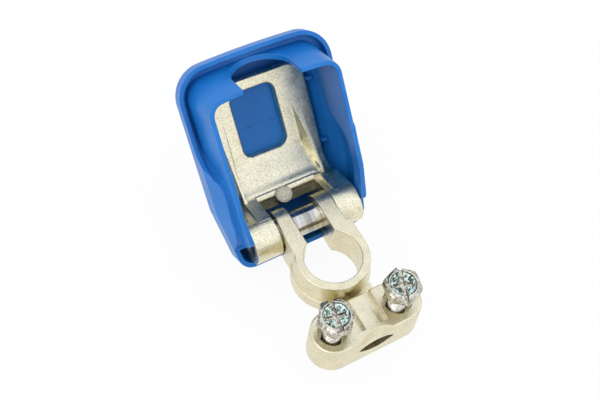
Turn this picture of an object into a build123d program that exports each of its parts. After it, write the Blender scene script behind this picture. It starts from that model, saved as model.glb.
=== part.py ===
from build123d import *
from math import cos, radians, sin
import os

# Quick-release clamp for a battery post, in millimetres.
# Origin: axis of the post bore, at the underside of the ring. +Z runs up the post,
# +X along the lever's pin and +Y from the ring towards the pin.

# Ring round the post
bore_radius = 9.0
ring_height = 12.7
ring_wall = 2.5
ring_draft = 0.6
parting_height = 4.8
parting_step = 0.3
top_round = 0.3

# Arms either side of the slot
slot_width = 9.7
arm_outer = 10.0
shoulder_length = 9.5
arm_side_root = 10.2
arm_side_tip = 9.0
pivot_y = 18.1
pivot_z = 6.1

# Cable clamp in front of the ring
screw_spacing = 22.4
clamp_x = 0.5
screw_offset = -0.35
clamp_y = -20.0
base_bottom = -3.4
split_height = 3.0
bridge_top = 8.5
base_end_radius = 7.4
split_end_radius = 7.3
bridge_end_radius = 7.1
edge_round = 0.8
channel_width = 12.4
channel_rise = 2.8
neck_width = 18.0
neck_slope_start = -9.5
bridge_hole_radius = 4.4
rib_width = 4.9
groove_width = 2.7
groove_depth = 2.1
groove_front = -23.8
lip_setback = 2.3
lip_setback_low = 0.5
lip_drop = 2.2

# Screws, M6
thread_radius = 3.0
thread_clearance = 0.05
thread_length = 17.0
thread_chamfer = 0.5
head_across_flats = 10.0
head_height = 4.0
collar_radius = 4.6
collar_height = 1.0
head_top_left = 20.1
head_top_right = 19.7
head_turn_left = -11.0
head_turn_right = 20.0
slot_turn_left = 80.0
slot_turn_right = 70.0
slot_depth = 1.1
recess_radius = 4.3
recess_depth = 0.5
cross_width = 1.5
cross_length = 7.4
cross_depth = 1.8

# Pin and hubs
pin_radius = 4.4
running_clearance = 0.05
press_clearance = 0.01
hub_radius = 6.95
hub_end = 18.65
hub_face = 10.05
cam_relief = 0.6
pin_end_recess = 0.6
pin_chamfer = 0.4
open_angle = 53.0
lever_shift = -0.5

# Lever plate, measured from the pin: u along the lever, n square to it
plate_front = -14.2
plate_thickness = 3.0
plate_start = 4.0
plate_end = 46.0
plate_corner = 6.0
window_width = 15.3
window_start = 20.8
window_length = 21.6
window_corner = 3.0
plate_round = 0.6
rail_outer = 14.4
rail_inner = 11.8
rail_crest_width = 0.9
rail_end = 34.0
rail_crest = -9.6
rail_crest_u = 20.0
cheek_front = -7.0
cheek_reach = 11.5
cheek_start = 8.4
cheek_foot = (14.0, -12.5)
cheek_heel = (5.0, -5.2, -11.5)
cheek_hollow = ((8.9, -9.4), (10.6, -12.9), (14.5, plate_front))
web_start = 21.0
web_groove = ((10.5, -13.6), (12.3, -13.3))
web_hump = ((13.0, -12.3), (14.4, -11.7), (16.4, -12.4), (18.6, -13.7))
crossbar_half = 8.9
crossbar_foot = -13.4
crossbar_section = ((12.0, crossbar_foot), (11.4, -8.6), (8.4, -7.2), (7.2, -8.4), (7.8, crossbar_foot))
crossbar_round = 0.7
pad_centre = (-1.0, 8.2, -7.4)
pad_lean = 28.0
pad_radius = 2.8
pad_proud = 0.7
pad_depth = 4.2

# Cover
wall = 1.4
seat_gap = 0.1
flatness = 0.002
crown_depth = 2.4
crown_thickness = 1.6
rim_half = 25.2
rim_level = -8.5
rim_end = 57.2
rim_bow = 1.0
rim_rear = -9.0
rim_taper = 3.0
rim_side_break = 12.0
rim_corner = 10.0
rear_corner = 5.0
crown_inset = 4.8
crown_round = 3.0
lip_crest = -4.5
lip_wall = 1.3
gutter_floor = -8.0
gutter_start = 22.0
gutter_rise = ((24.5, 2.8), (27.0, -1.2), (29.5, -4.6), (33.0, -7.2), (38.0, -7.95))
inset_half_low = 22.6
inset_end_low = 53.8
inset_half_high = 21.2
inset_end_high = 49.6
inset_rear = -5.5
inset_corner_low = 7.0
inset_corner_high = 5.0
inset_rear_corner = 2.0
inset_taper = 1.8
free_edge = 9.0
free_edge_round = 0.4
wing_half_high = 21.6
wing_top = 9.5
wing_step_u = 27.0
wing_step_length = 1.0
rear_edge = -1.5
crest_start = -0.75
crest_rise = ((4.0, 2.4), (10.0, 4.4), (17.0, 5.2), (22.6, 4.6), (26.0, 1.4), (29.2, -2.6))
crest_end = 33.0
wing_back = ((-0.8, rear_edge), (1.1, 4.2), (2.3, 6.9), (4.6, 7.9))
notch_shift = -0.4
notch_radius = 9.3
notch_bottom = -7.5
tab_near_u = 17.6
tab_far_u = 39.2
tab_length = 0.9
tab_height = 1.2
seat_half = 9.5
seat_start = 17.0
seat_step_u = 29.5
seat_end = 45.0
seat_step = 0.3

# Values that follow from the sizes above
ring_top_radius = bore_radius + ring_wall
ring_parting_radius = ring_top_radius + ring_draft
ring_foot_radius = ring_parting_radius + parting_step
arm_end_radius = ring_height - pivot_z
screw_left_x = clamp_x + screw_offset - screw_spacing / 2
screw_right_x = clamp_x + screw_offset + screw_spacing / 2
plate_back = plate_front - plate_thickness
crown_inner = plate_back - crown_depth
crown_outer = crown_inner - crown_thickness
swing = Plane(
    origin=(lever_shift, pivot_y, pivot_z),
    x_dir=(1, 0, 0),
    z_dir=(0, -sin(radians(open_angle)), cos(radians(open_angle))),
)


def face_plane(n):
    """Plane square to n: sketch x runs along the pin, sketch y along the lever."""
    return swing.offset(n)


def side_plane(x):
    """Plane square to the pin: sketch x runs along the lever, sketch y along n."""
    return Plane(swing.origin + swing.x_dir * x, x_dir=swing.y_dir, z_dir=swing.x_dir)


def cross_plane(u):
    """Plane square to the lever: sketch x runs along the pin, sketch y along n."""
    return Plane(swing.origin + swing.y_dir * u, x_dir=swing.x_dir, z_dir=swing.y_dir * -1)


def edges_at(piece, n):
    """Edges of a piece that lie at one n."""
    rise = Axis(swing.origin, swing.z_dir)
    return piece.edges().filter_by_position(rise, n - flatness, n + flatness)


pin_axis_plane = Plane((0, pivot_y, pivot_z), x_dir=(0, 1, 0), z_dir=(1, 0, 0))

# Arms: plan outline, trimmed at the end to a full round about the pin
with BuildPart() as arms:
    with BuildSketch(Plane.XY):
        with BuildLine():
            Polyline(
                (arm_outer, pivot_y + arm_end_radius),
                (arm_outer, 0),
                (-arm_side_root, 0),
                (-arm_side_root, pivot_y - arm_end_radius),
                (-arm_side_tip, pivot_y + arm_end_radius),
                close=True,
            )
        make_face()
    extrude(amount=ring_height)
    with BuildSketch(pin_axis_plane):
        with Locations((-pivot_y / 2, ring_height / 2 - pivot_z)):
            Rectangle(pivot_y, ring_height)
        Circle(arm_end_radius)
    extrude(amount=2 * ring_foot_radius, both=True, mode=Mode.INTERSECT)

# Clamp body: ring, shoulder, arms, neck and lower half of the cable clamp in one casting
with BuildPart() as clamp_body:
    with BuildSketch(Plane.XZ) as ring_section:
        with BuildLine():
            Polyline(
                (bore_radius, 0),
                (ring_foot_radius, 0),
                (ring_foot_radius, parting_height),
                (ring_parting_radius, parting_height),
                (ring_top_radius, ring_height),
                (bore_radius, ring_height),
                close=True,
            )
        make_face()
    revolve(axis=Axis.Z)
    with BuildSketch(Plane.XZ):
        add(ring_section.sketch_local)
    extrude(amount=-shoulder_length)
    add(arms.part)
    with BuildSketch(Plane.XY.offset(base_bottom)):
        with Locations((clamp_x, clamp_y)):
            SlotCenterToCenter(screw_spacing, 2 * base_end_radius)
    with BuildSketch(Plane.XY.offset(split_height)):
        with Locations((clamp_x, clamp_y)):
            SlotCenterToCenter(screw_spacing, 2 * split_end_radius)
    loft()
    with BuildSketch(Plane.YZ):
        with BuildLine():
            Polyline(
                (clamp_y, base_bottom),
                (neck_slope_start + base_bottom, base_bottom),
                (neck_slope_start, 0),
                (-bore_radius, 0),
                (-bore_radius, split_height),
                (clamp_y, split_height),
                close=True,
            )
        make_face()
    extrude(amount=neck_width / 2, both=True)
    with BuildSketch(Plane.XY):
        Circle(bore_radius)
        with Locations((0, pivot_y)):
            Rectangle(slot_width, 2 * pivot_y)
    extrude(amount=ring_height, mode=Mode.SUBTRACT)
    top_edges = clamp_body.faces().sort_by(Axis.Z)[-1].edges()
    fillet(top_edges - top_edges.filter_by_position(Axis.Y, pivot_y - top_round, pivot_y + top_round), top_round)
    with BuildSketch(pin_axis_plane):
        Circle(pin_radius + running_clearance)
    extrude(amount=2 * ring_foot_radius, both=True, mode=Mode.SUBTRACT)
    with BuildSketch(Plane.XY.offset(base_bottom)):
        with Locations((screw_left_x, clamp_y), (screw_right_x, clamp_y)):
            Circle(thread_radius + thread_clearance)
    extrude(amount=split_height - base_bottom, mode=Mode.SUBTRACT)
    with BuildSketch(Plane.XZ.offset(ring_foot_radius)):
        with BuildLine():
            ThreePointArc(
                (clamp_x - channel_width / 2, split_height),
                (clamp_x, split_height - channel_rise),
                (clamp_x + channel_width / 2, split_height),
            )
            Line((clamp_x + channel_width / 2, split_height), (clamp_x - channel_width / 2, split_height))
        make_face()
    extrude(amount=-2 * clamp_y, mode=Mode.SUBTRACT)

# Bridge: loose upper half of the cable clamp
with BuildPart() as cable_bridge:
    with BuildSketch(Plane.XY.offset(split_height)):
        with Locations((clamp_x, clamp_y)):
            SlotCenterToCenter(screw_spacing, 2 * split_end_radius)
    with BuildSketch(Plane.XY.offset(bridge_top)):
        with Locations((clamp_x, clamp_y)):
            SlotCenterToCenter(screw_spacing, 2 * bridge_end_radius)
    loft()
    fillet(cable_bridge.faces().sort_by(Axis.Z)[-1].edges(), edge_round)
    with BuildSketch(Plane.XY.offset(split_height)):
        with Locations((screw_left_x, clamp_y), (screw_right_x, clamp_y)):
            Circle(bridge_hole_radius)
    extrude(amount=bridge_top - split_height, mode=Mode.SUBTRACT)
    with BuildSketch(Plane.XZ):
        with BuildLine():
            ThreePointArc(
                (clamp_x - channel_width / 2, split_height),
                (clamp_x, split_height + channel_rise),
                (clamp_x + channel_width / 2, split_height),
            )
            Line((clamp_x + channel_width / 2, split_height), (clamp_x - channel_width / 2, split_height))
        make_face()
    extrude(amount=-2 * clamp_y, mode=Mode.SUBTRACT)
    groove_x = (rib_width + groove_width) / 2
    with BuildSketch(Plane.XY.offset(bridge_top)):
        with Locations((clamp_x - groove_x, groove_front / 2), (clamp_x + groove_x, groove_front / 2)):
            Rectangle(groove_width, -groove_front)
    extrude(amount=-groove_depth, mode=Mode.SUBTRACT)
    lip_y = clamp_y - bridge_end_radius
    lip_left = clamp_x - channel_width / 2
    lip_right = clamp_x + channel_width / 2
    for level, setback in ((bridge_top, lip_setback), (bridge_top - lip_drop, lip_setback_low)):
        with BuildSketch(Plane.XY.offset(level)):
            with BuildLine():
                ThreePointArc((lip_left, lip_y), (clamp_x, lip_y + setback), (lip_right, lip_y))
                Polyline(
                    (lip_right, lip_y),
                    (lip_right, lip_y - lip_setback),
                    (lip_left, lip_y - lip_setback),
                    (lip_left, lip_y),
                )
            make_face()
    loft(mode=Mode.SUBTRACT)


def make_screw(x, head_top, head_turn, slot_turn):
    """Hexagon screw with a collar, a dished top, a slot right across and a cross recess."""
    corner_radius = head_across_flats / 2 / cos(radians(30))
    seat = head_top - head_height
    with BuildPart() as screw:
        with BuildSketch(Plane((x, clamp_y, seat))):
            RegularPolygon(corner_radius, 6, rotation=head_turn)
        extrude(amount=head_height)
        crown = corner_radius - head_across_flats / 2
        with BuildSketch(Plane((x, clamp_y, seat), x_dir=(1, 0, 0), z_dir=(0, -1, 0))):
            with BuildLine():
                Polyline(
                    (0, 0),
                    (head_across_flats / 2, 0),
                    (corner_radius, crown),
                    (corner_radius, head_height - crown),
                    (head_across_flats / 2 - crown / 2, head_height),
                    (0, head_height),
                    close=True,
                )
            make_face()
        revolve(axis=Axis((x, clamp_y, 0), (0, 0, 1)), mode=Mode.INTERSECT)
        with BuildSketch(Plane((x, clamp_y, seat))):
            Circle(collar_radius)
        extrude(amount=-collar_height)
        with BuildSketch(Plane((x, clamp_y, seat - collar_height))):
            Circle(thread_radius)
        extrude(amount=-thread_length)
        chamfer(screw.faces().sort_by(Axis.Z)[0].edges(), thread_chamfer)
        with BuildSketch(Plane((x, clamp_y, head_top))):
            Circle(recess_radius)
        extrude(amount=-recess_depth, mode=Mode.SUBTRACT)
        with BuildSketch(Plane((x, clamp_y, head_top))):
            Rectangle(2 * corner_radius, cross_width, rotation=slot_turn)
        extrude(amount=-slot_depth, mode=Mode.SUBTRACT)
        with BuildSketch(Plane((x, clamp_y, head_top))):
            Rectangle(cross_length, cross_width, rotation=slot_turn)
            Rectangle(cross_width, cross_length, rotation=slot_turn)
        extrude(amount=-cross_depth, mode=Mode.SUBTRACT)
    return screw.part


screw_left = make_screw(screw_left_x, head_top_left, head_turn_left, slot_turn_left)
screw_right = make_screw(screw_right_x, head_top_right, head_turn_right, slot_turn_right)


def rail(side):
    """Stiffening rail: tapers to nothing at the far end, and its inner face slopes."""
    with BuildPart() as bar:
        with BuildSketch(side_plane(side * rail_inner)):
            with BuildLine():
                Polyline(
                    (rail_end, plate_front),
                    (rail_crest_u, rail_crest),
                    (cheek_reach, cheek_front),
                    (cheek_reach, plate_front),
                    close=True,
                )
            make_face()
        extrude(amount=side * (rail_outer - rail_inner))
        with BuildSketch(cross_plane(rail_end)):
            with BuildLine():
                Polyline(
                    (side * rail_inner, plate_front),
                    (side * (rail_outer - rail_crest_width), rail_crest),
                    (side * (rail_outer - rail_crest_width), cheek_front),
                    (side * rail_outer, cheek_front),
                    (side * rail_outer, plate_front),
                    close=True,
                )
            make_face()
        extrude(amount=rail_end - cheek_reach, mode=Mode.INTERSECT)
    return bar.part


# Lever: plate with a window, two rails, crossbar with a pad, cheeks and hubs
with BuildPart() as lever:
    plate_length = plate_end - plate_start
    with BuildSketch(face_plane(plate_front)):
        with Locations((0, plate_start + plate_length / 2)):
            Rectangle(2 * hub_end, plate_length)
        fillet(vertices().group_by(Axis.Y)[-1], plate_corner)
    extrude(amount=-plate_thickness)
    web_half = rail_outer - rail_crest_width
    with BuildSketch(side_plane(-web_half)):
        with BuildLine():
            Polyline((web_start, plate_front), (web_start, plate_back), (plate_start, plate_back))
            Polyline((plate_start, plate_back), (plate_start, plate_front), *web_groove)
            Spline(web_groove[-1], *web_hump, (web_start, plate_front))
        make_face()
    extrude(amount=2 * web_half)
    with BuildSketch(side_plane(-crossbar_half)):
        with BuildLine():
            Polyline(*crossbar_section, close=True)
        make_face()
        fillet(vertices().sort_by(Axis.Y)[-3:], crossbar_round)
    extrude(amount=2 * crossbar_half)
    for side in (-1, 1):
        inner_face = hub_face if side > 0 else hub_face + cam_relief
        add(rail(side))
        with BuildSketch(side_plane(side * inner_face - lever_shift)):
            with BuildLine():
                Polyline(
                    (hub_radius, 0),
                    (cheek_start, cheek_front),
                    (cheek_reach, cheek_front),
                    cheek_foot,
                    (cheek_foot[0], plate_back),
                    (cheek_heel[0], plate_back),
                    cheek_heel[1:],
                    (-hub_radius, 0),
                    close=True,
                )
            make_face()
            Circle(hub_radius)
        extrude(amount=side * (rail_outer - inner_face) + lever_shift)
        with BuildSketch(side_plane(side * rail_outer)):
            with BuildLine():
                Line((hub_radius, 0), cheek_hollow[0])
                ThreePointArc(*cheek_hollow)
                Polyline(
                    cheek_hollow[-1],
                    (cheek_hollow[-1][0], plate_back),
                    (cheek_heel[0], plate_back),
                    cheek_heel[1:],
                    (-hub_radius, 0),
                    (hub_radius, 0),
                )
            make_face()
            Circle(hub_radius)
        extrude(amount=side * (hub_end - rail_outer))
    with BuildSketch(face_plane(plate_front)):
        with Locations((0, window_start + window_length / 2)):
            RectangleRounded(window_width, window_length, window_corner)
    extrude(amount=-plate_thickness, mode=Mode.SUBTRACT)
    window_centre = swing.from_local_coords((0, window_start + window_length / 2, plate_front))
    plate_edges = edges_at(lever, plate_front)
    window_edges = plate_edges.sort_by_distance(window_centre)[:8]
    end_edges = plate_edges.sort_by(Axis(swing.origin, swing.y_dir))[-3:]
    fillet(window_edges + end_edges, plate_round)
    pad_plane = Plane(
        swing.from_local_coords(pad_centre),
        x_dir=swing.x_dir,
        z_dir=swing.y_dir * sin(radians(pad_lean)) + swing.z_dir * cos(radians(pad_lean)),
    )
    with BuildSketch(pad_plane.offset(pad_proud)):
        Circle(pad_radius)
    extrude(amount=-pad_depth)
    with BuildSketch(side_plane(0)):
        Circle(pin_radius + press_clearance)
    extrude(amount=2 * hub_end, both=True, mode=Mode.SUBTRACT)

# Pin: pressed into the hubs, turns in the arms
with BuildPart() as pivot_pin:
    with BuildSketch(side_plane(0)):
        Circle(pin_radius)
    extrude(amount=hub_end - pin_end_recess, both=True)
    chamfer(pivot_pin.edges().filter_by(GeomType.CIRCLE), pin_chamfer)


def cap_loft(levels):
    """Solid between two plans of the cover, each with a bowed far end and tapering sides."""
    with BuildPart() as solid:
        for level, half, end, rear, far_corner, near_corner, taper in levels:
            with BuildSketch(face_plane(level)):
                with BuildLine():
                    Polyline(
                        (-half, end - rim_bow),
                        (-half, max(rim_side_break, rear + far_corner)),
                        (-half + taper, rear),
                        (half - taper, rear),
                        (half, max(rim_side_break, rear + far_corner)),
                        (half, end - rim_bow),
                    )
                    ThreePointArc((half, end - rim_bow), (0, end), (-half, end - rim_bow))
                make_face()
                fillet(vertices().group_by(Axis.Y)[-1], far_corner)
                fillet(vertices().group_by(Axis.Y)[0], near_corner)
        loft(ruled=True)
    return solid.part


def side_trim(points, curve):
    """Slab across the whole cover whose side outline is straight runs and one smooth curve."""
    with BuildPart() as slab:
        with BuildSketch(side_plane(0)):
            with BuildLine():
                Polyline(curve[-1], *points, curve[0])
                Spline(*curve)
            make_face()
        extrude(amount=2 * rim_half, both=True)
    return slab.part


def rim_plan(skin, level, half, inset):
    """One plan of the outer skin: half width and inset of the ends at a level."""
    return (
        level,
        half - skin,
        rim_end - inset - skin,
        rim_rear + inset / 2 + skin,
        rim_corner - skin,
        rear_corner - skin,
        rim_taper,
    )


def crown_solid(skin):
    """Top of the cover down to its widest level, drawn in by the wall where hollow."""
    top = crown_outer if skin == 0 else crown_inner
    return cap_loft((
        rim_plan(skin, top, rim_half - crown_inset, crown_inset),
        rim_plan(skin, rim_level, rim_half, 0),
    ))


def shoulder_solid(skin):
    """Sloping shoulder from the widest level up into the two wings."""
    return cap_loft((
        rim_plan(skin, rim_level, rim_half, 0),
        rim_plan(skin, rear_edge, rim_half, 0),
        rim_plan(skin, wing_top, wing_half_high, 0),
    ))


def inset_solid(skin, low, high):
    """Inset wall of the finger end, between two levels."""
    rear_round = inset_rear_corner - skin / 2
    return cap_loft((
        (low, inset_half_low - skin, inset_end_low - skin, inset_rear + skin,
         inset_corner_low - skin, rear_round, inset_taper),
        (high, inset_half_high - skin, inset_end_high - skin, inset_rear + skin,
         inset_corner_high - skin, rear_round, inset_taper),
    ))


# Side outlines of the cover. The shoulder's crest rises in an S from the lip of the rim and
# then runs along the wing to the rear skirt.
shoulder_crest = (
    (crest_start, rear_edge),
    *crest_rise,
    (crest_end, lip_crest),
)
shoulder_base = (
    (rim_end + wall, lip_crest),
    (rim_end + wall, rim_level),
    (rim_rear - wall, rim_level),
    (rim_rear - wall, rear_edge),
)
roof_line = ((crest_start, rear_edge), *crest_rise[:4], *gutter_rise[:3])
cavity_crest = tuple((u - wall / 2, n - wall) for u, n in roof_line) + ((crest_end - wall, rim_level),)
cavity_base = (
    (rim_rear - wall, rim_level),
    (rim_rear - wall, wing_top),
    (cavity_crest[0][0], wing_top),
)
gutter_curve = ((gutter_start, wing_top), *gutter_rise, (crest_end + rim_corner, gutter_floor))
gutter_base = (
    (rim_end, gutter_floor),
    (rim_end, wing_top),
)
crown_cavity_outline = (
    (cavity_crest[-1][0], rim_level),
    (cavity_crest[-1][0], gutter_floor - wall),
    (rim_end + wall, gutter_floor - wall),
    (rim_end + wall, crown_outer),
    (rim_rear - wall, crown_outer),
    (rim_rear - wall, rim_level),
)
inset_outline = (
    (wing_step_u, wing_top),
    (wing_step_u + wing_step_length, free_edge),
    (rim_end, free_edge),
    (rim_end, gutter_floor),
    (wing_back[0][0], gutter_floor),
)

# Inside of the crown, no higher than the floor of the gutter at the finger end
with BuildPart() as crown_trim:
    with BuildSketch(side_plane(0)):
        with BuildLine():
            Polyline(*crown_cavity_outline, close=True)
        make_face()
    extrude(amount=2 * rim_half, both=True)
crown_cavity = crown_solid(wall).intersect(crown_trim.part)

# Cover: crown, shoulder with its gutter and wings, then the inset wall, then the inside
with BuildPart() as cover:
    add(crown_solid(0))
    top_edges = cover.faces().sort_by(Axis(swing.origin, swing.z_dir))[0].edges()
    fillet(top_edges, crown_round)
    add(shoulder_solid(0).intersect(side_trim(shoulder_base, shoulder_crest)))
    gutter = cap_loft([
        (level, rim_half - lip_wall, rim_end - lip_wall, gutter_start, rim_corner - lip_wall, lip_wall, 0)
        for level in (gutter_floor, free_edge)
    ])
    add(gutter.intersect(side_trim(gutter_base, gutter_curve)), mode=Mode.SUBTRACT)
    add(inset_solid(0, gutter_floor, wing_top).intersect(side_trim(inset_outline, wing_back)))
    add(crown_cavity, mode=Mode.SUBTRACT)
    add(shoulder_solid(wall).intersect(side_trim(cavity_base, cavity_crest)), mode=Mode.SUBTRACT)
    add(inset_solid(wall, gutter_floor - wall, wing_top), mode=Mode.SUBTRACT)
    notch_reach = rim_end - lip_wall - rim_bow
    with BuildSketch(cross_plane(notch_reach)):
        with Locations((notch_shift, notch_bottom + notch_radius)):
            Circle(notch_radius)
        with Locations((notch_shift, free_edge)):
            Rectangle(2 * notch_radius, 2 * (free_edge - notch_bottom - notch_radius))
    extrude(amount=notch_reach - inset_end_high + 2 * wall, mode=Mode.SUBTRACT)
    tab_width = rim_half - crown_inset - hub_end
    for side in (-1, 1):
        tab_x = side * (hub_end + seat_gap + tab_width / 2)
        with BuildSketch(face_plane(crown_inner)):
            with Locations((tab_x, tab_near_u), (tab_x, tab_far_u)):
                Rectangle(tab_width, tab_length)
        extrude(amount=plate_front + tab_height - crown_inner)
    with BuildSketch(side_plane(0)):
        with BuildLine():
            Polyline(
                (seat_start, crown_inner),
                (seat_start, plate_back - seat_gap),
                (seat_step_u, plate_back - seat_gap),
                (seat_step_u, plate_back - seat_gap - seat_step),
                (seat_end, plate_back - seat_gap - seat_step),
                (seat_end, crown_inner),
                close=True,
            )
        make_face()
    extrude(amount=seat_half, both=True)
    fillet(edges_at(cover, free_edge), free_edge_round)

pieces = {
    "clamp_body": clamp_body.part,
    "cable_bridge": cable_bridge.part,
    "screw_left": screw_left,
    "screw_right": screw_right,
    "lever": lever.part,
    "pivot_pin": pivot_pin.part,
    "cover": cover.part,
}
os.makedirs("parts", exist_ok=True)
for name, piece in pieces.items():
    piece.label = name
    export_step(piece, f"parts/{name}.step")
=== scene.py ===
import math

import bmesh
import bpy
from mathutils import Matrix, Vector


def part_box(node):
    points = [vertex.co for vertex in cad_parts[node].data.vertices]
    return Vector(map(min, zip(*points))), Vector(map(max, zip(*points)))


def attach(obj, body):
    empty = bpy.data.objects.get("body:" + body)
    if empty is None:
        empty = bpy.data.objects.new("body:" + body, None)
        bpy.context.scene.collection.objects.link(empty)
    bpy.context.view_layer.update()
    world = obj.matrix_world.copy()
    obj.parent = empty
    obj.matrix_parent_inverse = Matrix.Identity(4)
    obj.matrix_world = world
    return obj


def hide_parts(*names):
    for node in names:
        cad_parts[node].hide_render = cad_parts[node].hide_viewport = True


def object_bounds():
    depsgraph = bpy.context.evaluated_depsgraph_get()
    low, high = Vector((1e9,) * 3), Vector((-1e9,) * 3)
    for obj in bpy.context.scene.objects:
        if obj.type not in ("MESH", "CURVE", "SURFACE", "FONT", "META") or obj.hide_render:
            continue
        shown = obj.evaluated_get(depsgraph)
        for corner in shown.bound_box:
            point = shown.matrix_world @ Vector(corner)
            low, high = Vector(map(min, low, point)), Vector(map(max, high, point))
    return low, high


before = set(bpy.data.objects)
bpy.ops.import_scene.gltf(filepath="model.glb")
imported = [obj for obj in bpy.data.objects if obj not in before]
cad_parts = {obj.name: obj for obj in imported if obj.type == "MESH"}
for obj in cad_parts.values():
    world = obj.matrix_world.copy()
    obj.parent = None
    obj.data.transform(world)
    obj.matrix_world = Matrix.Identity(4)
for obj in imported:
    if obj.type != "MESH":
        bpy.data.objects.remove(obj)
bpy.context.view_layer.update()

# Clamp body and cable bridge: die cast in zinc, tumbled, then thinly plated.
# The plating is bright and a little warm, and keeps the casting's fine sparkling grain;
# tumbling has worn the edges smoother than the faces. Their lighter colour is partly that wear
# and partly a painted highlight, which also falls in hollow corners.
MM = 0.001
FACET_SHARE = 0.35
CLOUDS_PER_METRE = 220.0
CASTING_EDGE = 0.25

# How nearly the eased normal agrees with the face's own where the edge colour (wear and painted highlight)
# starts and where it is full.
FLAT_FACE = 0.995
FULL_EDGE = 0.85


def add_node(tree, kind, wires=None, **settings):
    """Add one node; a wire is either the value of an input or the socket that feeds it."""
    made = tree.nodes.new(kind)
    for name, value in settings.items():
        setattr(made, name, value)
    for socket, value in (wires or {}).items():
        if isinstance(value, bpy.types.NodeSocket):
            tree.links.new(value, made.inputs[socket])
        else:
            made.inputs[socket].default_value = value
    return made


def new_group(name, kind, takes, gives):
    """Node group with the named inputs and outputs; returns the tree and its two ends."""
    tree = bpy.data.node_groups.new(name, kind)
    for label, socket in takes:
        tree.interface.new_socket(label, in_out="INPUT", socket_type=socket)
    for label, socket in gives:
        tree.interface.new_socket(label, in_out="OUTPUT", socket_type=socket)
    return tree, tree.nodes.new("NodeGroupInput"), tree.nodes.new("NodeGroupOutput")


def ranged(tree, value, start, end, low, high):
    """Number that goes from low to high as the value goes from start to end."""
    wires = {"Value": value, 1: start, 2: end, 3: low, 4: high}
    return add_node(tree, "ShaderNodeMapRange", wires).outputs["Result"]


def cast_grain_group():
    """Skin of a casting: grain tone, slow polish changes and surface height, all 0 to 1."""
    tree, given, out = new_group(
        "cast_grain",
        "ShaderNodeTree",
        (("Vector", "NodeSocketVector"), ("Grains per mm", "NodeSocketFloat")),
        (("Tone", "NodeSocketFloat"), ("Polish", "NodeSocketFloat"), ("Height", "NodeSocketFloat")),
    )
    place = given.outputs["Vector"]
    wires = {0: given.outputs["Grains per mm"], 1: 1 / MM}
    scale = add_node(tree, "ShaderNodeMath", wires, operation="MULTIPLY").outputs[0]
    wires = {"Vector": place, "Scale": scale, "Detail": 3.0, "Roughness": 0.7}
    grit = add_node(tree, "ShaderNodeTexNoise", wires).outputs["Fac"]
    facet = add_node(tree, "ShaderNodeTexVoronoi", {"Vector": place, "Scale": scale})
    pick = add_node(tree, "ShaderNodeSeparateColor", {0: facet.outputs["Color"]}).outputs[0]
    tone = add_node(tree, "ShaderNodeMix", {"Factor": FACET_SHARE, "A": grit, "B": pick}).outputs[0]
    wires = {"Vector": place, "Scale": CLOUDS_PER_METRE, "Detail": 5.0, "Roughness": 0.6}
    cloud = add_node(tree, "ShaderNodeTexNoise", wires).outputs["Fac"]
    tree.links.new(tone, out.inputs["Tone"])
    tree.links.new(cloud, out.inputs["Polish"])
    tree.links.new(grit, out.inputs["Height"])
    return tree


def edge_group():
    """Edge wear and painted highlight: a mask that is 1 along edges, and the face's own normal eased over
    them.
    """
    tree, given, out = new_group(
        "edge_wear_and_highlight",
        "ShaderNodeTree",
        (("Reach", "NodeSocketFloat"),),
        (("Edge", "NodeSocketFloat"), ("Normal", "NodeSocketVector")),
    )
    eased = add_node(tree, "ShaderNodeBevel", {"Radius": given.outputs["Reach"]}, samples=6).outputs[0]
    face = add_node(tree, "ShaderNodeNewGeometry").outputs["Normal"]
    wires = {0: eased, 1: face}
    near = add_node(tree, "ShaderNodeVectorMath", wires, operation="DOT_PRODUCT").outputs["Value"]
    tree.links.new(ranged(tree, near, FLAT_FACE, FULL_EDGE, 0.0, 1.0), out.inputs["Edge"])
    tree.links.new(eased, out.inputs["Normal"])
    return tree


cast_grain = cast_grain_group()
edge_wear_and_highlight = edge_group()


def new_finish(name, metallic=0.0):
    """New material, with its node tree, its shader and the place on the piece that its noises use."""
    material = bpy.data.materials.new(name)
    material.use_nodes = True
    tree = material.node_tree
    shader = tree.nodes["Principled BSDF"]
    shader.inputs["Metallic"].default_value = metallic
    return material, tree, shader, add_node(tree, "ShaderNodeTexCoord").outputs["Object"]


def two_tone(tree, mask, start, dark, end, light):
    """Colour that goes from dark where the mask is at start to light where it is at end."""
    tint = add_node(tree, "ShaderNodeValToRGB", {"Fac": mask})
    first, last = tint.color_ramp.elements
    first.position = start
    first.color = (*dark, 1)
    last.position = end
    last.color = (*light, 1)
    return tint.outputs["Color"]


def over(tree, mask, below, above):
    """One colour over another where the mask is 1."""
    wires = {0: mask, 6: below, 7: (*above, 1)}
    return add_node(tree, "ShaderNodeMix", wires, data_type="RGBA").outputs[2]


def bumped(tree, height, depth, strength=1.0, normal=None):
    """Surface normal of a relief of a depth in metres, over another normal if there is one."""
    wires = {"Height": height, "Distance": depth, "Strength": strength}
    if normal:
        wires["Normal"] = normal
    return add_node(tree, "ShaderNodeBump", wires).outputs["Normal"]


def coat(tree, shader, colour, roughness, normal):
    """Join a finish's colour, roughness and normal to its shader."""
    tree.links.new(colour, shader.inputs["Base Color"])
    tree.links.new(roughness, shader.inputs["Roughness"])
    tree.links.new(normal, shader.inputs["Normal"])


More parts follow.
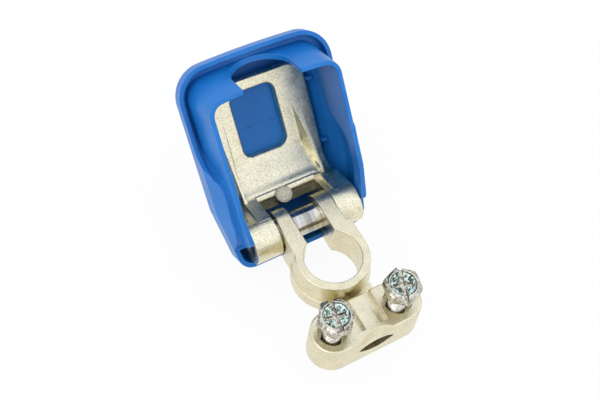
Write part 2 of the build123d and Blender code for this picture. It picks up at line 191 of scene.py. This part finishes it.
def cast_zinc(name, grains_per_mm, dark, light, edge, grain_height, smooth):
    """Plated zinc casting; sizes in mm, colours for hollow grain, raised grain and edge, the edge colour
    partly wear and partly painted highlight.
    """
    material, tree, shader, place = new_finish(name, metallic=1.0)
    wires = {"Vector": place, "Grains per mm": grains_per_mm}
    grain = add_node(tree, "ShaderNodeGroup", wires, node_tree=cast_grain).outputs
    edge_sheen_and_wear = add_node(tree, "ShaderNodeGroup", {"Reach": CASTING_EDGE * MM}, node_tree=edge_wear_and_highlight).outputs
    tint = two_tone(tree, grain["Tone"], 0.3, dark, 0.62, light)
    cloudy = ranged(tree, grain["Polish"], 0.35, 0.65, 0.9, 1.06)
    shade = add_node(tree, "ShaderNodeVectorMath", {0: tint, "Scale": cloudy}, operation="SCALE")
    coat(
        tree,
        shader,
        over(tree, edge_sheen_and_wear["Edge"], shade.outputs[0], edge),
        ranged(tree, grain["Polish"], 0.3, 0.7, smooth, smooth + 0.14),
        bumped(tree, grain["Height"], grain_height * MM, normal=edge_sheen_and_wear["Normal"]),
    )
    return material


def dress(node, material):
    """Give a CAD node its finish."""
    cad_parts[node].data.materials.clear()
    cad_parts[node].data.materials.append(material)


body_zinc = cast_zinc(
    "body_zinc",
    grains_per_mm=3.2,
    dark=(0.69, 0.62, 0.43),
    light=(0.81, 0.74, 0.52),
    edge=(0.90, 0.84, 0.64),
    grain_height=0.035,
    smooth=0.20,
)
dress("clamp_body", body_zinc)
dress("cable_bridge", body_zinc)

# Web of the lever: the lever's middle swells forward from its plate to a ridge, and falls away behind
# the ridge in a hollow round the pin, which clears the ends of the arms. It is cast in zinc with the
# lever, in an older die than the body's, so the skin is coarser. The hollow gets its own rougher copy
# of the finish, browner in tone: that brown is painted shade.
PIVOT = Vector((-0.5, 18.1, 6.1)) * MM
OPEN_ANGLE = math.radians(53)
ALONG_LEVER = Vector((0, math.cos(OPEN_ANGLE), math.sin(OPEN_ANGLE)))
OFF_LEVER = Vector((0, -math.sin(OPEN_ANGLE), math.cos(OPEN_ANGLE)))
CASTING_CREASE = 28
HOLLOW_RADIUS = 10.8
CUT_SHORT_OFF = -8.0
hollow_turns = (-42, -45, -49, -53, -57, -61, -65, -70)
swell = [(20.5, -14.22), (19.6, -13.95), (18.6, -13.45), (17.4, -12.75), (16.0, -11.85), (14.6, -10.95)]
swell += [(13.2, -10.05), (12.5, -9.55), (11.9, -9.0), (11.4, -8.4), (10.9, -7.9), (10.55, -7.72)]
ridge = [(10.38, -7.4), (10.2, -7.12), (9.6, -6.98), (9.0, -6.9), (8.5, -6.95)]
hollow = [
    (HOLLOW_RADIUS * math.cos(math.radians(turn)), HOLLOW_RADIUS * math.sin(math.radians(turn)))
    for turn in hollow_turns
]
back = [(3.8, -11.2), (4.6, -13.2), (7.0, -15.6), (20.2, -15.6)]
web_section = swell + ridge + hollow + back

# Across the lever: place, how far along the section is cut short, and how deep it sinks.
web_stations = [(-13.3, 10.4, 0.15), (-12.6, 10.4, 0.02), (-10.25, 10.4, 0.0), (-10.2, 0, 0)]
web_stations += [(10.6, 0, 0), (10.65, 10.4, 0.0), (12.6, 10.4, 0.02), (13.3, 10.4, 0.15)]


def on_lever(across, along, off):
    """Point of the lever at rest, from millimetres across, along and square to it."""
    return PIVOT + Vector((across * MM, 0, 0)) + ALONG_LEVER * along * MM + OFF_LEVER * off * MM


def skinned(rings):
    """Closed shape skinned over rings of points, with a flat face on the first and the last."""
    shape = bmesh.new()
    made = [[shape.verts.new(point) for point in ring] for ring in rings]
    for near, far in zip(made, made[1:]):
        for index in range(len(near)):
            after = (index + 1) % len(near)
            shape.faces.new((near[index], near[after], far[after], far[index]))
    shape.faces.new(made[0])
    shape.faces.new(made[-1])
    bmesh.ops.recalc_face_normals(shape, faces=shape.faces)
    return shape


def mesh_object(name, shape):
    """Object in the scene with the mesh of a shape."""
    mesh = bpy.data.meshes.new(name)
    shape.to_mesh(mesh)
    made = bpy.data.objects.new(name, mesh)
    bpy.context.scene.collection.objects.link(made)
    return made


def finish_piece(name, shape, material, body, crease):
    bmesh.ops.recalc_face_normals(shape, faces=shape.faces)
    for face in shape.faces:
        face.smooth = True
    for edge in shape.edges:
        edge.smooth = len(edge.link_faces) == 2 and edge.calc_face_angle(0) < math.radians(crease)
    piece = mesh_object(name, shape)
    piece.data.materials.append(material)
    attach(piece, body)
    return piece


web_rings = []
for across, short, sink in web_stations:
    kept = [spot if spot[0] > short else (short, min(spot[1], CUT_SHORT_OFF)) for spot in web_section]
    web_rings.append([on_lever(across, along, off - sink) for along, off in kept])
web = skinned(web_rings)
web.faces.ensure_lookup_table()
for number in range(len(web.faces) - 2):
    in_hollow = number % len(web_section) >= len(swell + ridge)
    web.faces[number].material_index = int(in_hollow)
lever_zinc = cast_zinc(
    "lever_zinc",
    grains_per_mm=2.6,
    dark=(0.66, 0.60, 0.42),
    light=(0.90, 0.84, 0.62),
    edge=(0.95, 0.90, 0.70),
    grain_height=0.045,
    smooth=0.22,
)
# Hollow's copy of the lever zinc: rougher, with a browner tone that is painted shade.
hollow_shade_zinc = cast_zinc(
    "hollow_shade_zinc",
    grains_per_mm=3.0,
    dark=(0.66, 0.57, 0.33),
    light=(0.92, 0.82, 0.56),
    edge=(0.90, 0.80, 0.55),
    grain_height=0.05,
    smooth=0.55,
)
web_piece = finish_piece("lever_web", web, lever_zinc, "lever_set", CASTING_CREASE)
web_piece.data.materials.append(hollow_shade_zinc)

# Lever: the second large zinc casting, a plate with two side rails, cheeks and hubs round the pin.
# The cheeks are trimmed to the web's swell between the rails, each with a flat facet down to its hub.
CASTING_WELD = 1e-7

# Sections along and off the lever, and where each begins and ends across it, in mm.
trim_section = [(9.9, -7.2), (10.5, -7.95), (11.0, -8.35), (11.4, -8.75), (12.0, -9.35), (12.6, -9.85)]
trim_section += [(13.4, -10.4), (15.0, -11.5), (15.0, -5.0), (9.0, -5.0)]
trim_reach = ((-13.2, -9.6), (9.6, 13.2))
facet_section = [(6.53, 2.37), (8.05, -1.82), (9.93, -7.0), (8.2, -7.2), (6.4, -3.0), (5.6, 2.0)]
facet_reach = ((-14.4, -10.25), (12.5, 14.4))


def lever_bar(section, start, end):
    """Straight bar of a section, between two places across the lever."""
    return skinned([[on_lever(across, along, off) for along, off in section] for across in (start, end)])


def carve(piece, cutter, operation="DIFFERENCE"):
    """Cut a piece with another by a Boolean modifier."""
    cut = piece.modifiers.new("carve", "BOOLEAN")
    cut.operation = operation
    cut.solver = "EXACT"
    cut.object = cutter


def made_mesh(piece):
    """Plain mesh of an object with its modifiers applied."""
    made = bpy.data.meshes.new_from_object(piece.evaluated_get(bpy.context.evaluated_depsgraph_get()))
    piece.modifiers.clear()
    return made


casting = bmesh.new()
casting.from_mesh(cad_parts["lever"].data)
casting.transform(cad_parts["lever"].matrix_world)
bmesh.ops.remove_doubles(casting, verts=casting.verts, dist=CASTING_WELD)
rough_casting = mesh_object("rough_casting", casting)
trims = [mesh_object("trim", lever_bar(trim_section, start, end)) for start, end in trim_reach]
for trim in trims:
    carve(rough_casting, trim)
trimmed = bmesh.new()
trimmed.from_mesh(made_mesh(rough_casting))
facets = [mesh_object("facet", lever_bar(facet_section, start, end)) for start, end in facet_reach]
for facet in facets:
    trimmed.from_mesh(facet.data)
for face in trimmed.faces:
    face.material_index = 0
for spare in [rough_casting, *trims, *facets]:
    bpy.data.objects.remove(spare)
lever_piece = finish_piece("lever_casting", trimmed, lever_zinc, "lever_set", CASTING_CREASE)
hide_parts("lever")

# Striker pad: a round boss on the web's ridge, cast in one with it and then faced off.
# The cutter leaves a thin raised rim round the face. The whole pad has a darker and rougher zinc finish than
# the lever's skin.
PAD_CENTRE = (-1.3, 8.15, -6.5)
PAD_LEAN = math.radians(28)
PAD_STEPS = 64
PAD_CREASE = 30

# Out from the pad's axis and up along it, in mm: face, rim and side.
pad_profile = [(2.15, 0.62), (2.3, 0.8), (2.4, 0.88), (2.6, 0.88), (2.72, 0.8), (2.78, 0.6), (2.78, -3.2)]
pad_axis = OFF_LEVER * math.cos(PAD_LEAN) + ALONG_LEVER * math.sin(PAD_LEAN)
pad_side = pad_axis.cross(Vector((1, 0, 0)))
turns = [math.tau * step / PAD_STEPS for step in range(PAD_STEPS)]
spokes = [Vector((1, 0, 0)) * math.cos(turn) + pad_side * math.sin(turn) for turn in turns]
pad_rings = []
for radius, rise in pad_profile:
    middle = on_lever(*PAD_CENTRE) + pad_axis * rise * MM
    pad_rings.append([middle + spoke * radius * MM for spoke in spokes])
pad_zinc = cast_zinc(
    "pad_zinc",
    grains_per_mm=4.5,
    dark=(0.30, 0.27, 0.20),
    light=(0.62, 0.57, 0.45),
    edge=(0.94, 0.89, 0.70),
    grain_height=0.12,
    smooth=0.26,
)
finish_piece("striker_pad", skinned(pad_rings), pad_zinc, "lever_set", PAD_CREASE)

# Pivot pin: steel bar turned to size and bright plated, with the turning tool's fine rings left on it.
# It is pressed into the lever's hubs and turns in the arms.
ROUND_THE_PIN = (1.0, 0.02, 0.02)
RINGS_PER_METRE = 2600.0
REFLECTION_STRIPES_PER_METRE = 420.0
RING_DEPTH = 0.01
pin_steel, tree, shader, place = new_finish("turned_steel", metallic=1.0)
wires = {0: place, 1: ROUND_THE_PIN}
stretched = add_node(tree, "ShaderNodeVectorMath", wires, operation="MULTIPLY").outputs[0]
wires = {"Vector": stretched, "Scale": RINGS_PER_METRE, "Detail": 4.0}
rings = add_node(tree, "ShaderNodeTexNoise", wires).outputs["Fac"]
# Dark and light bands in the pin's colour along its length: painted reflection.
wires = {"Vector": stretched, "Scale": REFLECTION_STRIPES_PER_METRE, "Detail": 2.0}
reflection_bands = add_node(tree, "ShaderNodeTexNoise", wires).outputs["Fac"]
coat(
    tree,
    shader,
    two_tone(tree, reflection_bands, 0.35, (0.32, 0.31, 0.27), 0.65, (0.76, 0.73, 0.66)),
    ranged(tree, rings, 0.3, 0.7, 0.10, 0.22),
    bumped(tree, rings, RING_DEPTH * MM, strength=0.6),
)
dress("pivot_pin", pin_steel)

# Cover: blue polypropylene, injection moulded in one piece, semi-gloss from a lightly sparked mould.
# It clips over the lever's plate with four thin tabs; its edges are painted a paler blue, a painted
# highlight.
SPARKS_PER_METRE = 5200.0
FLOWS_PER_METRE = 90.0
SPARK_DEPTH = 0.012
COVER_EDGE = 0.3
EDGE_HIGHLIGHT_SHARE = 0.6
blue_plastic, tree, shader, place = new_finish("blue_plastic")
shader.inputs["Specular IOR Level"].default_value = 0.32
shader.inputs["IOR"].default_value = 1.49
wires = {"Vector": place, "Scale": SPARKS_PER_METRE, "Detail": 3.0, "Roughness": 0.6}
spark = add_node(tree, "ShaderNodeTexNoise", wires).outputs["Fac"]
wires = {"Vector": place, "Scale": FLOWS_PER_METRE, "Detail": 4.0, "Distortion": 0.8}
flow = add_node(tree, "ShaderNodeTexNoise", wires).outputs["Fac"]
edge_sheen_and_wear = add_node(tree, "ShaderNodeGroup", {"Reach": COVER_EDGE * MM}, node_tree=edge_wear_and_highlight).outputs
tint = two_tone(tree, flow, 0.35, (0.009, 0.152, 0.480), 0.65, (0.014, 0.182, 0.540))
# Paler blue along every edge: painted highlight.
wires = {0: edge_sheen_and_wear["Edge"], 1: EDGE_HIGHLIGHT_SHARE}
edge_highlight = add_node(tree, "ShaderNodeMath", wires, operation="MULTIPLY").outputs[0]
coat(
    tree,
    shader,
    over(tree, edge_highlight, tint, (0.10, 0.36, 0.80)),
    ranged(tree, flow, 0.3, 0.7, 0.30, 0.40),
    bumped(tree, spark, SPARK_DEPTH * MM, normal=edge_sheen_and_wear["Normal"]),
)
dress("cover", blue_plastic)

# Screws: two M6 hexagon screws with a dished, slotted and cross-recessed head, cold headed in steel,
# with a rolled thread and a clear zinc plating that is cloudy and greenish in the dish, darkened there
# with painted shade; the rim, neck and thread have a lighter copy of the plating, a painted highlight.
# Sizes are in mm; heights are from the top of the head.
HEAD_DEPTH = 4.35
HEAD_STEPS = 96
HEAD_CREASE = 35
HEX_CORNER = 5.85
CUT_ABOVE = 1.0
CUT_BELOW = -6.0
EASED_EDGE = 0.10
EASED_ANGLE = 32
SCREW_EDGE = 0.15
SCREW_GRAINS_PER_MM = 1.6
SCREW_GRAIN_HEIGHT = 0.04
THREAD_OVERLAP = 0.3
THREAD_COLUMNS = 49
THREAD_WELD = 1e-6
THREAD_SIZES = {"Radius": 3.0 * MM, "Pitch": 1.0 * MM, "Depth": 0.6 * MM, "Point": 0.5 * MM, "Rows": 212}

# Where the head's skin is the dish, darkened with painted shade, and the rim and neck, lightened with painted
# highlight.
DISH_RADIUS = 3.9
DISH_FLOOR = -1.22
DISH_LIP = -0.15
RIM_RADIUS = 4.55
RIM_FOOT = -0.35
NECK_TOP = -4.2

# Out from the axis and up from the top of the head: dish, rim, chamfer, skirt and neck.
head_profile = [(1.2, -1.2), (2.4, -1.1), (3.2, -0.95), (3.75, -0.65), (3.95, -0.2), (4.05, -0.04)]
head_profile += [(4.18, 0.0), (4.32, -0.05), (4.42, -0.22), (4.6, -0.42), (5.1, -0.62), (6.4, -1.25)]
head_profile += [(6.4, -3.55), (5.3, -4.0), (3.7, -4.1), (3.3, -4.25), (3.1, -4.4)]

# The slot and the two arms of the cross: half length, half width, depth and turn from the slot.
RECESS_LENGTH_TAPER = 0.94
RECESS_WIDTH_TAPER = 0.9
recesses = ((8.0, 0.75, -2.0, 0.0), (3.1, 0.72, -2.5, math.pi / 2), (3.1, 0.74, -2.7, 0.0))


def thread_tree():
    """Rolled thread: a sheet wrapped round the axis, waved once a pitch and closed at both ends."""
    tree, given, out = new_group(
        "rolled_thread",
        "GeometryNodeTree",
        (
            ("Geometry", "NodeSocketGeometry"),
            ("Foot", "NodeSocketVector"),
            ("Radius", "NodeSocketFloat"),
            ("Pitch", "NodeSocketFloat"),
            ("Depth", "NodeSocketFloat"),
            ("Length", "NodeSocketFloat"),
            ("Point", "NodeSocketFloat"),
            ("Rows", "NodeSocketInt"),
            ("Finish", "NodeSocketMaterial"),
        ),
        (("Geometry", "NodeSocketGeometry"),),
    )

    def calc(operation, *terms):
        """Result of one sum on numbers and sockets."""
        return add_node(tree, "ShaderNodeMath", dict(enumerate(terms)), operation=operation).outputs[0]

    rows = given.outputs["Rows"]
    wires = {"Size X": 1.0, "Size Y": 1.0, "Vertices X": THREAD_COLUMNS, "Vertices Y": rows}
    sheet = add_node(tree, "GeometryNodeMeshGrid", wires)
    spot = add_node(tree, "GeometryNodeInputPosition").outputs[0]
    spot = add_node(tree, "ShaderNodeSeparateXYZ", {0: spot})
    turn = calc("MULTIPLY", spot.outputs["X"], 2 * math.pi)
    last = calc("SUBTRACT", rows, 1.0)
    row = calc("MULTIPLY", calc("ADD", spot.outputs["Y"], 0.5), last)
    share = calc("DIVIDE", calc("SUBTRACT", row, 1.0), calc("SUBTRACT", last, 2.0))
    share = calc("MINIMUM", calc("MAXIMUM", share, 0.0), 1.0)
    height = calc("MULTIPLY", share, given.outputs["Length"])
    phase = calc("SUBTRACT", calc("DIVIDE", height, given.outputs["Pitch"]), spot.outputs["X"])
    wave = calc("MULTIPLY", calc("PINGPONG", phase, 0.5), 2.0)
    wave = calc("SMOOTH_MIN", calc("MULTIPLY", wave, 1.35), 1.0, 0.3)
    flank = calc("SUBTRACT", given.outputs["Radius"], calc("MULTIPLY", wave, given.outputs["Depth"]))
    point = calc("ADD", calc("SUBTRACT", given.outputs["Radius"], given.outputs["Point"]), height)
    skin = calc("MINIMUM", flank, point)
    before_end = calc("LESS_THAN", row, calc("SUBTRACT", last, 0.5))
    skin = calc("MULTIPLY", skin, calc("MULTIPLY", calc("GREATER_THAN", row, 0.5), before_end))
    side = calc("MULTIPLY", skin, calc("COSINE", turn))
    front = calc("MULTIPLY", skin, calc("SINE", turn))
    place = add_node(tree, "ShaderNodeCombineXYZ", {0: side, 1: front, 2: height}).outputs[0]
    wires = {0: place, 1: given.outputs["Foot"]}
    place = add_node(tree, "ShaderNodeVectorMath", wires, operation="ADD").outputs[0]
    wires = {"Geometry": sheet.outputs["Mesh"], "Position": place}
    wrapped = add_node(tree, "GeometryNodeSetPosition", wires).outputs[0]
    wires = {"Geometry": wrapped, "Distance": THREAD_WELD}
    closed = add_node(tree, "GeometryNodeMergeByDistance", wires).outputs[0]
    smooth = add_node(tree, "GeometryNodeSetShadeSmooth", {"Geometry": closed}).outputs[0]
    real = add_node(tree, "GeometryNodeRealizeInstances", {"Geometry": smooth}).outputs[0]
    wires = {"Geometry": real, "Material": given.outputs["Finish"]}
    dressed = add_node(tree, "GeometryNodeSetMaterial", wires).outputs[0]
    tree.links.new(dressed, out.inputs["Geometry"])
    return tree


def plating(name, dull, bright, edge, smooth):
    """Clear zinc plating on steel, with colours for its dull and bright places and its edges, partly wear and
    partly painted highlight.
    """
    material, tree, shader, place = new_finish(name, metallic=1.0)
    edge_sheen_and_wear = add_node(tree, "ShaderNodeGroup", {"Reach": SCREW_EDGE * MM}, node_tree=edge_wear_and_highlight).outputs
    wires = {"Vector": place, "Grains per mm": SCREW_GRAINS_PER_MM}
    grain = add_node(tree, "ShaderNodeGroup", wires, node_tree=cast_grain).outputs
    tint = two_tone(tree, grain["Tone"], 0.38, dull, 0.58, bright)
    coat(
        tree,
        shader,
        over(tree, edge_sheen_and_wear["Edge"], tint, edge),
        ranged(tree, grain["Polish"], 0.3, 0.7, smooth, smooth + 0.1),
        bumped(tree, grain["Height"], SCREW_GRAIN_HEIGHT * MM, normal=edge_sheen_and_wear["Normal"]),
    )
    return material


rolled_thread = thread_tree()
screw_plating = plating(
    "screw_plating", dull=(0.20, 0.18, 0.13), bright=(0.66, 0.62, 0.52), edge=(0.90, 0.87, 0.77), smooth=0.13
)
# Darker greenish copy for the dish: the plating's green tint with painted shade.
shaded_dish_plating = plating(
    "shaded_dish_plating", dull=(0.06, 0.08, 0.06), bright=(0.62, 0.74, 0.64), edge=(0.88, 0.90, 0.82), smooth=0.14
)
# Lighter copy for the rim, neck and thread: painted highlight.
painted_highlight_plating = plating(
    "painted_highlight_plating", dull=(0.42, 0.39, 0.30), bright=(0.78, 0.75, 0.64), edge=(0.95, 0.94, 0.88), smooth=0.14
)


def round_ring(centre, radius, rise, count, start=0.0):
    """Evenly spaced points round the screw's axis."""
    turns = [start + math.tau * step / count for step in range(count)]
    spots = [Vector((radius * math.cos(turn), radius * math.sin(turn), rise)) for turn in turns]
    return [centre + spot * MM for spot in spots]


def bar_ring(centre, half_length, half_width, rise, turn):
    """Corners of a turned rectangle across the screw's axis."""
    along = Vector((math.cos(turn), math.sin(turn), 0)) * half_length
    across = Vector((-math.sin(turn), math.cos(turn), 0)) * half_width
    lift = Vector((0, 0, rise))
    corners = (along + across, across - along, -along - across, along - across)
    return [centre + (corner + lift) * MM for corner in corners]


def made_head(top, head_turn, slot_turn):
    """Mesh of a head: a turned profile kept inside a hexagon, with its slot and cross cut, edges eased."""
    turned = [round_ring(top, out, rise, HEAD_STEPS) for out, rise in head_profile]
    head = mesh_object("head", skinned(turned))
    first_corner = math.radians(head_turn)
    sides = [round_ring(top, HEX_CORNER, rise, 6, first_corner) for rise in (CUT_ABOVE, CUT_BELOW)]
    hexagon = mesh_object("hexagon", skinned(sides))
    carve(head, hexagon, "INTERSECT")
    spares = [head, hexagon]
    for length, width, deep, cross_turn in recesses:
        turn = math.radians(slot_turn) + cross_turn
        mouth = bar_ring(top, length, width, CUT_ABOVE, turn)
        bottom = bar_ring(top, length * RECESS_LENGTH_TAPER, width * RECESS_WIDTH_TAPER, deep, turn)
        spares.append(mesh_object("recess", skinned([mouth, bottom])))
        carve(head, spares[-1])
    eased = head.modifiers.new("eased", "BEVEL")
    eased.width = EASED_EDGE * MM
    eased.segments = 2
    eased.limit_method = "ANGLE"
    eased.angle_limit = math.radians(EASED_ANGLE)
    mesh = made_mesh(head)
    for spare in spares:
        bpy.data.objects.remove(spare)
    return mesh


def made_thread(foot, length):
    """Mesh of a screw's thread from its foot up."""
    shank = mesh_object("shank", bmesh.new())
    rolled = shank.modifiers.new("thread", "NODES")
    rolled.node_group = rolled_thread
    sizes = {**THREAD_SIZES, "Foot": foot, "Length": length, "Finish": painted_highlight_plating}
    for socket in rolled_thread.interface.items_tree:
        if socket.in_out == "INPUT" and socket.name in sizes:
            rolled[socket.identifier] = sizes[socket.name]
    mesh = made_mesh(shank)
    bpy.data.objects.remove(shank)
    return mesh


def make_screw(node, body, head_turn, slot_turn):
    """Screw in place of a node: dished and slotted hexagon head over a rolled thread."""
    low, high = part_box(node)
    top = Vector(((low[0] + high[0]) / 2, (low[1] + high[1]) / 2, high[2]))
    foot = (top.x, top.y, low[2])
    whole = bmesh.new()
    whole.from_mesh(made_thread(foot, high[2] - HEAD_DEPTH * MM - low[2] + THREAD_OVERLAP * MM))
    whole.from_mesh(made_head(top, head_turn, slot_turn))
    for face in whole.faces:
        middle = (face.calc_center_median() - top) / MM
        out = middle.xy.length
        dish = out < DISH_RADIUS and DISH_FLOOR < middle.z < DISH_LIP
        rim = DISH_RADIUS <= out < RIM_RADIUS and middle.z > RIM_FOOT
        face.material_index = 1 if dish else 2 if rim or middle.z < NECK_TOP else 0
    screw = finish_piece("hex_" + node, whole, screw_plating, body, HEAD_CREASE)
    screw.data.materials.append(shaded_dish_plating)
    screw.data.materials.append(painted_highlight_plating)
    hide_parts(node)


make_screw("screw_left", "left_screw", head_turn=-11, slot_turn=80)
make_screw("screw_right", "right_screw", head_turn=20, slot_turn=70)

# Floor: a sheet of white paper under the clamp, wide enough to reach past every view.
# It glows evenly where the camera or a reflection sees it, and keeps the clamp's soft shadow.
FLOOR_SIZE = 6.0
FLOOR_GAP = 0.2
PAPER_GLOW = 0.93
floor_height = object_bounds()[0][2] - FLOOR_GAP * MM
bpy.ops.mesh.primitive_plane_add(size=FLOOR_SIZE, location=(0, 0, floor_height))
floor = bpy.context.object
floor.name = "floor"
paper = bpy.data.materials.new("white_paper")
paper.use_nodes = True
tree = paper.node_tree
sheet = tree.nodes["Principled BSDF"]
sheet.inputs["Base Color"].default_value = (0.85, 0.85, 0.84, 1)
sheet.inputs["Roughness"].default_value = 0.9
path = add_node(tree, "ShaderNodeLightPath").outputs
wires = {0: path["Is Camera Ray"], 1: path["Is Glossy Ray"]}
seen = add_node(tree, "ShaderNodeMath", wires, operation="ADD").outputs[0]
wires = {0: seen, 1: path["Is Transmission Ray"]}
seen = add_node(tree, "ShaderNodeMath", wires, operation="ADD").outputs[0]
wires = {0: seen, 1: PAPER_GLOW}
share = add_node(tree, "ShaderNodeMath", wires, operation="MULTIPLY", use_clamp=True).outputs[0]
glow = add_node(tree, "ShaderNodeEmission", {"Strength": 1.0}).outputs[0]
mixed = add_node(tree, "ShaderNodeMixShader", {0: share, 1: sheet.outputs[0], 2: glow})
tree.links.new(mixed.outputs[0], tree.nodes["Material Output"].inputs["Surface"])
floor.data.materials.append(paper)

# Light: a bright soft ceiling that dims towards the horizon, and three soft boxes round the clamp.
# The key box stands high on the left, a weaker one fills from the right, and the weakest is low in front.
CLAMP_MIDDLE = Vector((0, 0.01, 0.01))
world = bpy.data.worlds.new("soft_room")
bpy.context.scene.world = world
world.use_nodes = True
tree = world.node_tree
direction = add_node(tree, "ShaderNodeTexCoord")
split = add_node(tree, "ShaderNodeSeparateXYZ", {0: direction.outputs["Generated"]})
room = two_tone(tree, split.outputs["Z"], 0.0, (0.84, 0.85, 0.87), 0.85, (1.10, 1.16, 1.30))
tree.links.new(room, tree.nodes["Background"].inputs["Color"])


def soft_box(name, place, width, power):
    """Square soft box that faces the clamp."""
    lamp = bpy.data.objects.new(name, bpy.data.lights.new(name, "AREA"))
    lamp.data.shape = "SQUARE"
    lamp.data.size = width
    lamp.data.energy = power
    lamp.location = place
    lamp.rotation_euler = (CLAMP_MIDDLE - Vector(place)).to_track_quat("-Z", "Y").to_euler()
    bpy.context.scene.collection.objects.link(lamp)


soft_box("key_box", (-0.75, -0.25, 0.95), 0.8, 2.0)
soft_box("fill_box", (0.80, -0.30, 0.80), 0.8, 0.5)
soft_box("front_box", (0.34, -1.02, 0.36), 0.6, 0.24)
bpy.context.scene.view_settings.view_transform = "Standard"

# Camera: a short telephoto above and in front of the cable clamp's left end.
# It looks down on the opened lever, and the clamp nearly fills the height of its frame.
camera = bpy.data.objects.new("camera", bpy.data.cameras.new("camera"))
camera.location = (-0.079374, -0.096625, 0.236844)
camera.rotation_euler = tuple(math.radians(angle) for angle in (32.342, -3.512, -28.456))
camera.data.sensor_fit = "HORIZONTAL"
camera.data.sensor_width = 36.0
camera.data.lens = 51.0
bpy.context.scene.collection.objects.link(camera)
bpy.context.scene.camera = camera
